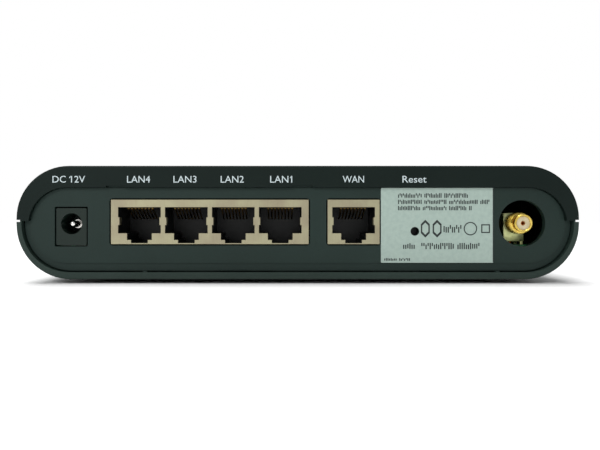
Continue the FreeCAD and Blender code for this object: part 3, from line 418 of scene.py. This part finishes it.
FEET_SIDES = {
    "processor_chip": (True, True), "switch_chip": (True, True), "radio_chip": (True, True),
    "memory_chip": (True, False), "flash_chip": (True, False),
    "lan_magnetics_left": (False, True), "lan_magnetics_right": (False, True),
    "wan_magnetics": (False, True), "power_regulator": (False, True),
}
chip_finishes = {node: chip_finish(node, *sides) for node, sides in FEET_SIDES.items()}
print(len(chip_finishes), "chips with tinned feet")

# %% [markdown]
# ## Capacitor cans
#
# An electrolytic capacitor is an aluminium can in a dark shrunk sleeve, bare at the top.
# Height alone tells the two apart: everything above the sleeve's turned-in edge is bare.

# %% Capacitors
BARE_TOP = 0.45


def sleeved(node):
    """A dark sleeve round a can whose top is bare metal."""
    top_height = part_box(node)[1].z - BARE_TOP * MM
    material, tree, shader, place = start_finish(f"{node}_finish", 0.35)
    height = add(tree, "ShaderNodeSeparateXYZ", {"Vector": place}).outputs["Z"]
    top = maths(tree, "GREATER_THAN", height, top_height)
    fine = cloud(tree, place, 0.4, detail=3)
    sleeve = add(tree, "ShaderNodeValToRGB", {"Fac": fine})
    sleeve.color_ramp.elements[0].color = shade(22, 26, 44)
    sleeve.color_ramp.elements[1].color = shade(32, 36, 58)
    both = add(tree, "ShaderNodeMix", {"Factor": top, 6: sleeve.outputs["Color"],
                                       7: shade(200, 202, 204)}, data_type="RGBA")
    tree.links.new(both.outputs[2], shader.inputs["Base Color"])
    tree.links.new(top, shader.inputs["Metallic"])
    vary(tree, shader, fine, 0.28, 0.42)
    return material


own_finish = {**chip_finishes, "electrolytic_capacitors": sleeved("electrolytic_capacitors"),
              "bottom_case": finishes["base_plastic"],
              "dc_jack_housing": finishes["inlet_plastic"]}
print(len(own_finish), "pieces have a finish of their own")

# %% [markdown]
# ## Which piece gets which finish
#
# Every ready-made piece arrives with a material whose name says what it is made of. A
# long list of pieces could be typed, but the name is enough: it picks the finish, and
# only the few pieces with a finish of their own are named.

# %% Give every ready-made piece its finish
for name, piece in nodes.items():
    slot = piece.data.materials[0].name.split(".")[0]
    piece.data.materials[0] = own_finish.get(name) or finishes[slot]
coated("floor_paper", (244, 244, 244), (248, 248, 248), 0.9, size=40, depth=0.0001, gloss=0.1)
floor.data.materials.append(finishes["floor_paper"])
print("finished", len(nodes), "ready-made pieces and the floor")

# %% [markdown]
# ## Tools for new pieces
#
# Three shapes cover most of what is left: a brick with soft edges, a form that a lathe
# would turn, and a finished piece. Each could be typed as points and faces. Blender's
# mesh operators do it with less to get wrong: a cube that is bevelled, and an outline
# that is spun. The turned forms lie along the box's depth, because every socket does.

# %% Helpers for new pieces
def brick(shape, low, high, soft=0.0, segments=2):
    """Adds a box between two corners, with its edges softened."""
    size = [b - a for a, b in zip(low, high)]
    middle = [(a + b) / 2 for a, b in zip(low, high)]
    made = bmesh.ops.create_cube(
        shape, size=1.0, matrix=Matrix.Translation(middle) @ Matrix.Diagonal((*size, 1)))
    if soft:
        edges = list({edge for vert in made["verts"] for edge in vert.link_edges})
        bmesh.ops.bevel(shape, geom=edges, offset=soft, offset_type="OFFSET",
                        affect="EDGES", segments=segments, profile=0.5, material=-1)


def turned(shape, outline, x, z, steps=48, closed=False):
    """Spins an outline of (y, radius) points round a line that runs front to back."""
    points = [shape.verts.new((x + radius, y, z)) for y, radius in outline]
    pairs = list(zip(points, points[1:])) + ([(points[-1], points[0])] if closed else [])
    edges = [shape.edges.new(pair) for pair in pairs]
    bmesh.ops.spin(shape, geom=points + edges, cent=(x, 0, z), axis=(0, 1, 0),
                   angle=math.tau, steps=steps, use_merge=True)


def finished(name, shape, finish, body="router", stands_for=(), smooth=35):
    """Closes a shape drawn in millimetres and makes it a piece that rides on a body."""
    bmesh.ops.remove_doubles(shape, verts=shape.verts, dist=0.0005)
    bmesh.ops.recalc_face_normals(shape, faces=shape.faces)
    bmesh.ops.transform(shape, matrix=Matrix.Scale(MM, 4), verts=shape.verts)
    mesh = bpy.data.meshes.new(name)
    shape.to_mesh(mesh)
    shape.free()
    mesh.polygons.foreach_set("use_smooth", [True] * len(mesh.polygons))
    mesh.set_sharp_from_angle(angle=math.radians(smooth))
    mesh.materials.append(finish)
    piece = bpy.data.objects.new(name, mesh)
    scene.collection.objects.link(piece)
    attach(piece, body)
    if stands_for:
        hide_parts(*stands_for)
    print(name, len(mesh.polygons), "faces")
    return piece


# %% [markdown]
# ## Printed words on the rim
#
# Each socket is named by a short generic word, pad-printed in pale ink on the shell's
# rear rim. Text objects draw the letters. They become meshes at once, because only a
# mesh can be measured and stretched to an exact size, and the ink gets a real thickness
# of two hundredths of a millimetre.

# %% Words
INK = 0.02
RIM_FACE = cad_box[0].y / MM
CAPITALS, BASELINE = 2.0, 29.8
FLAG_LONG, FLAG_THICK, FLAG_DROP, FLAG_LEAN = 0.62, 0.24, 0.16, 48


def printed_word(shape, word, middle, wide):
    """Adds a word in ink, stretched to a width and to the height of its capitals."""
    curve = bpy.data.curves.new("word", "FONT")
    curve.body = word
    curve.resolution_u = 3
    holder = bpy.data.objects.new("word", curve)
    letters = bpy.data.meshes.new_from_object(holder)
    bpy.data.objects.remove(holder)
    ink = bmesh.new()
    ink.from_mesh(letters)
    low = [min(vert.co[axis] for vert in ink.verts) for axis in (0, 1)]
    high = [max(vert.co[axis] for vert in ink.verts) for axis in (0, 1)]
    for vert in ink.verts:
        across = (vert.co.x - low[0]) / (high[0] - low[0]) - 0.5
        up = (vert.co.y - low[1]) / (high[1] - low[1])
        vert.co = (middle + across * wide, RIM_FACE - INK, BASELINE + up * CAPITALS)
    sides = bmesh.ops.extrude_face_region(ink, geom=ink.faces[:])
    moved = [part for part in sides["geom"] if isinstance(part, bmesh.types.BMVert)]
    bmesh.ops.translate(ink, verts=moved, vec=(0, 2 * INK, 0))
    ink.to_mesh(letters)
    ink.free()
    shape.from_mesh(letters)


def flag_the_one(shape, right):
    """Gives a bare upright 1 its short slanted flag, which ends at the stroke's top."""
    flag = bmesh.new()
    brick(flag, (-FLAG_LONG, -INK, -FLAG_THICK / 2), (0.0, INK, FLAG_THICK / 2))
    bmesh.ops.transform(flag, verts=flag.verts, matrix=Matrix.Translation(
        (right, RIM_FACE, BASELINE + CAPITALS - FLAG_DROP)) @ Matrix.Rotation(
            math.radians(-FLAG_LEAN), 4, "Y"))
    holder = bpy.data.meshes.new("flag")
    flag.to_mesh(holder)
    flag.free()
    shape.from_mesh(holder)


words = bmesh.new()
for word, middle, wide in (("DC 12V", -67.6, 9.6), ("LAN4", -47.0, 6.8), ("LAN3", -33.3, 6.8),
                           ("LAN2", -19.35, 6.8), ("LAN1", -4.9, 6.5), ("WAN", 16.4, 6.3),
                           ("Reset", 34.45, 7.1)):
    printed_word(words, word, middle, wide)
for right in (-67.05, -1.85):
    flag_the_one(words, right)
finished("socket_words", words, finishes["legend_ink"])

# %% [markdown]
# ## Print on the label
#
# A real sticker carries names, numbers and approval marks. None of that belongs on a
# reusable part, so the print is greeked: rows of upright strokes that have the weight of
# type and say nothing, and a row of plain outlines. A seeded draw sets the heights, so
# every run prints the same label. A thin dark strip of ink along the label's right cut
# edge is painted shadow, the shade that lies beside that edge.

# %% Label print
LABEL_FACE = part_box("rating_label")[0].y / MM
# The last two sizes are the width and depth of the dark strip of painted shadow on the label's
# right edge.
MARKS_Z, SHADOW_LINE_WIDE, SHADOW_LINE_DEEP = 16.2, 0.2, 0.13
dice = random.Random(12)


HEIGHTS = ((0, 1), (0, 1), (0, 0.74), (0, 0.74), (0.08, 0.86), (0.5, 1))


def stroke_row(shape, start, end, base, tall, thin=0.3, step=0.48):
    """Adds a row of upright strokes of uneven height, grouped like words."""
    x, left_in_word = start, dice.randint(8, 18)
    while x + thin < end:
        low, high = dice.choice(HEIGHTS)
        brick(shape, (x, LABEL_FACE - INK, base + tall * low),
              (x + thin, LABEL_FACE + INK, base + tall * high))
        x += step
        left_in_word -= 1
        if not left_in_word:
            x, left_in_word = x + step * 1.3, dice.randint(8, 18)


def outline(shape, x, z, radius, line, sides, turn=0.0, narrow=1.0):
    """Adds a plain ring or an even-sided frame in ink, made narrower if wanted."""
    ring = bmesh.new()
    turned(ring, [(LABEL_FACE - INK, radius - line), (LABEL_FACE - INK, radius),
                  (LABEL_FACE + INK, radius), (LABEL_FACE + INK, radius - line)],
           0, 0, steps=sides, closed=True)
    place = (Matrix.Translation((x, 0, z)) @ Matrix.Diagonal((narrow, 1, 1, 1))
             @ Matrix.Rotation(math.radians(turn), 4, "Y"))
    bmesh.ops.transform(ring, matrix=place, verts=ring.verts)
    holder = bpy.data.meshes.new("ring")
    ring.to_mesh(holder)
    ring.free()
    shape.from_mesh(holder)


ink = bmesh.new()
for start, end, base, tall in ((29.8, 50.9, 25.35, 1.35), (29.8, 57.3, 23.5, 1.3),
                               (29.8, 51.8, 21.65, 1.3), (25.7, 33.4, 6.65, 0.8)):
    stroke_row(ink, start, end, base, tall)
for start, end, base, tall in ((43.3, 48.9, 15.0, 2.3), (31.3, 35.0, 10.2, 1.65),
                               (36.7, 54.2, 10.1, 1.85)):
    stroke_row(ink, start, end, base, tall, thin=0.36, step=0.62)
for middle in (37.9, 41.4):
    outline(ink, middle, MARKS_Z, 2.65, 0.85, 6, turn=90, narrow=0.58)
outline(ink, 51.3, MARKS_Z, 2.0, 0.32, 40)
outline(ink, 55.8, MARKS_Z, 1.85, 0.5, 4, turn=45)
label_low, label_high = (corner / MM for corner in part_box("rating_label"))
# Painted shadow: a thin dark ink strip down the label's right cut edge stands in for the shade
# beside it.
brick(ink, (label_high.x - SHADOW_LINE_WIDE, LABEL_FACE - INK, label_low.z + SHADOW_LINE_WIDE),
      (label_high.x + INK, LABEL_FACE + SHADOW_LINE_DEEP, label_high.z - SHADOW_LINE_WIDE))
finished("label_print_and_edge_shadow", ink, finishes["label_ink"])

# %% [markdown]
# ## The antenna jack
#
# This is a coaxial jack cut from brass and plated with gold: a square block that solders
# to the board, a threaded barrel, and a plain nose round a cream insulator. A lathe cuts
# it, so an outline is spun for the barrel. The thread could be a stack of rings, but a
# true one winds: a small triangle is spun while it also moves along the axis.

# %% Antenna jack body
low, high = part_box("antenna_jack_body")
JACK_X, JACK_Z = (low.x + high.x) / 2 / MM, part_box("antenna_jack_insulator")[0].z / MM + 2.05
JACK_TIP, BLOCK_FRONT, BLOCK_BACK = low.y / MM, -49.9, high.y / MM
BLOCK_LOW, BLOCK_TOP = 12.2, 21.0
THREAD_TOP, THREAD_ROOT, THREAD_PITCH, BORE = 3.175, 2.88, 0.7, 2.06
jack = bmesh.new()
turned(jack, [
    (JACK_TIP + 0.12, BORE), (JACK_TIP, BORE + 0.12), (JACK_TIP, 2.53), (JACK_TIP + 0.15, 2.68),
    (JACK_TIP + 0.75, 2.68), (JACK_TIP + 0.8, 2.2), (JACK_TIP + 1.35, 2.2),
    (JACK_TIP + 1.4, THREAD_ROOT), (-50.7, THREAD_ROOT),
    (-50.55, 2.7), (-49.8, 2.7), (-49.8, BORE)], JACK_X, JACK_Z, closed=True)
TURNS, STEPS = 6.5, 32
THREAD_START, ROOT = -50.9, THREAD_ROOT - 0.05
tooth = [jack.verts.new((JACK_X + radius, y, JACK_Z)) for y, radius in (
    (THREAD_START, ROOT), (THREAD_START - 0.29, THREAD_TOP), (THREAD_START - 0.39, THREAD_TOP),
    (THREAD_START - 0.68, ROOT))]
tooth_face = jack.faces.new(tooth)
bmesh.ops.spin(jack, geom=[tooth_face, *tooth_face.edges, *tooth], cent=(JACK_X, 0, JACK_Z),
               axis=(0, 1, 0), dvec=(0, -THREAD_PITCH / STEPS, 0), angle=math.tau * TURNS,
               steps=int(TURNS * STEPS))
finished("antenna_barrel", jack, finishes["gold_plate"],
         stands_for=("antenna_jack_body",))
print("thread of", TURNS, "turns")

# %% [markdown]
# ## The antenna jack's block
#
# The block behind the barrel is milled square and its four legs go down through the board.
# It could share the barrel's mesh, but its plating is paler and duller than the turned
# barrel's, so it is a piece of its own: five soft-edged bricks and a shallow step round
# the barrel's foot.

# %% Antenna jack block and legs
block = bmesh.new()
brick(block, (low.x / MM, BLOCK_FRONT, BLOCK_LOW), (high.x / MM, BLOCK_BACK, BLOCK_TOP), soft=0.25)
STEP_IN, STEP_OUT, STEP_PROUD, STEP_DEEP = 2.9, 3.1, 0.02, 0.3
step_ring = [(BLOCK_FRONT - STEP_PROUD, STEP_IN), (BLOCK_FRONT - STEP_PROUD, STEP_OUT),
             (BLOCK_FRONT + STEP_DEEP, STEP_OUT), (BLOCK_FRONT + STEP_DEEP, STEP_IN)]
turned(block, step_ring, JACK_X, JACK_Z, closed=True)
LEG_APART, LEG_HALF = 2.54, 0.5
leg_y = (BLOCK_FRONT + BLOCK_BACK) / 2
for across in (-LEG_APART, LEG_APART):
    for along in (-LEG_APART, LEG_APART):
        x, y = JACK_X + across, leg_y + along
        brick(block, (x - LEG_HALF, y - LEG_HALF, low.z / MM),
              (x + LEG_HALF, y + LEG_HALF, BLOCK_LOW + 0.2), soft=0.12)
finished("antenna_block", block, finishes["pale_plate"])

# %% [markdown]
# ## The antenna jack's centre
#
# In the middle of the insulator sits a small socket that takes the antenna's pin. It is a
# tube with a closed back, so its outline is spun with a hollow front, and a square tail
# takes the signal down to the board.

# %% Antenna jack centre
centre = bmesh.new()
sleeve_front, sleeve_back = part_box("antenna_jack_contact")[0].y / MM, -46.2
turned(centre, [(sleeve_front, 0.42), (sleeve_front, 0.6), (sleeve_front + 0.05, 0.635),
                (sleeve_back, 0.635), (sleeve_back, 0), (sleeve_front + 2.2, 0),
                (sleeve_front + 2.0, 0.42)], JACK_X, JACK_Z, steps=24, closed=True)
TAIL_HALF = 0.35
tail_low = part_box("antenna_jack_contact")[0].z / MM
brick(centre, (JACK_X - TAIL_HALF, leg_y - TAIL_HALF, tail_low),
      (JACK_X + TAIL_HALF, leg_y + TAIL_HALF, JACK_Z), soft=0.05)
finished("antenna_centre", centre, finishes["copper_glow"],
         stands_for=("antenna_jack_contact",))

# %% [markdown]
# ## The power inlet's pin
#
# The plug's centre slides over a nickel pin with a round end. It is a lathe job, so it is
# one spun outline: a dome from points on a quarter circle and a straight shank. The
# shoulder deep in the well is there for its look alone, a bright crescent: the ready-made
# pin has none, and on a working pin it would stop the plug 5 mm along.

# %% Pin
low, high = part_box("dc_jack_pin")
PIN_X, PIN_Z = (low.x + high.x) / 2 / MM, (low.z + high.z) / 2 / MM
PIN_R = (high.z - low.z) / 2 / MM
pin = bmesh.new()
tip, back = low.y / MM, high.y / MM
dome = [(tip + PIN_R * (1 - math.cos(angle)), PIN_R * math.sin(angle))
        for angle in (math.radians(step) for step in range(0, 91, 15))]
COLLAR_FRONT, COLLAR_LONG, COLLAR_R = tip + 5.0, 0.6, 1.38
collar = [(COLLAR_FRONT, PIN_R), (COLLAR_FRONT, COLLAR_R - 0.05), (COLLAR_FRONT + 0.05, COLLAR_R),
          (COLLAR_FRONT + COLLAR_LONG, COLLAR_R), (COLLAR_FRONT + COLLAR_LONG, PIN_R)]
turned(pin, dome + collar + [(back, PIN_R), (back, 0)], PIN_X, PIN_Z, steps=32)
finished("dc_centre_pin", pin, finishes["contact_metal"],
         stands_for=("dc_jack_pin",))

# %% [markdown]
# ## The power inlet's spring
#
# A strip presses on the plug's sleeve from the side. It could be a flat bar, but the real
# one is folded into a channel to make it stiff, so three thin bricks make its back and its
# two flanges. It rides on the spring's own body.

# %% Spring
low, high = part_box("dc_jack_spring")
spring = bmesh.new()
front, back, right = low.y / MM, high.y / MM, high.x / MM
SHEET, REACH, TALL, SOFT = 0.3, 1.7, (high.z - low.z) / MM, 0.08
TUCK, FLANGE_END = 0.02, 4.0
middle_z = (low.z + high.z) / 2 / MM
brick(spring, (right - SHEET, front, middle_z - TALL / 2), (right, back, middle_z + TALL / 2),
      SOFT)
for side in (-1, 1):
    edge = middle_z + side * (TALL / 2 - SHEET / 2 - TUCK)
    brick(spring, (right - REACH, front + TUCK, edge - SHEET / 2),
          (right - TUCK, back - FLANGE_END, edge + SHEET / 2), SOFT)
finished("dc_spring_strip", spring, finishes["contact_metal"],
         body="dc_spring", stands_for=("dc_jack_spring",))
